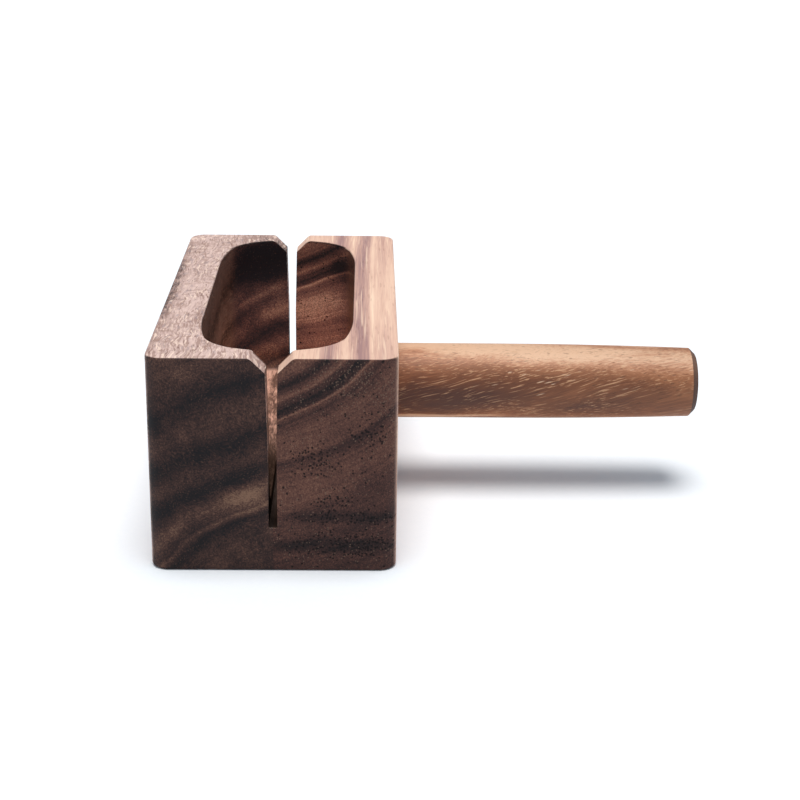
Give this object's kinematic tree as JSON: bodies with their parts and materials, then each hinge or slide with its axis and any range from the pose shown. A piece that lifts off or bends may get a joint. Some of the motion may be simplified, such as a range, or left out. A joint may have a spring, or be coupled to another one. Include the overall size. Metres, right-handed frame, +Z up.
{
  "type": "nutcracker mallet",
  "caption": "Mallet-shaped wooden nutcracker: a two-board head with a deep open hollow, slotted end walls with flared mouths, and a turned round handle fixed in its side.",
  "frame": {"origin": "middle of the head's base, on the glue line between the two boards", "axes": "+X along the handle from the head to the free end, +Y along the head's length and grain, +Z up from the base to the open hollow"},
  "size_m": [0.1792, 0.15, 0.069],
  "materials": {
    "wood_left": "satin oiled, figured dark hardwood",
    "wood_right": "satin oiled, striped dark hardwood",
    "wood_handle": "satin oiled, orange-brown hardwood",
    "wood_wedge": "plain sawn hardwood"
  },
  "bodies": {
    "root": {"head_left": "wood_left", "head_right": "wood_right", "handle": "wood_handle", "tenon_wedge": "wood_wedge"}
  },
  "joints": []
}
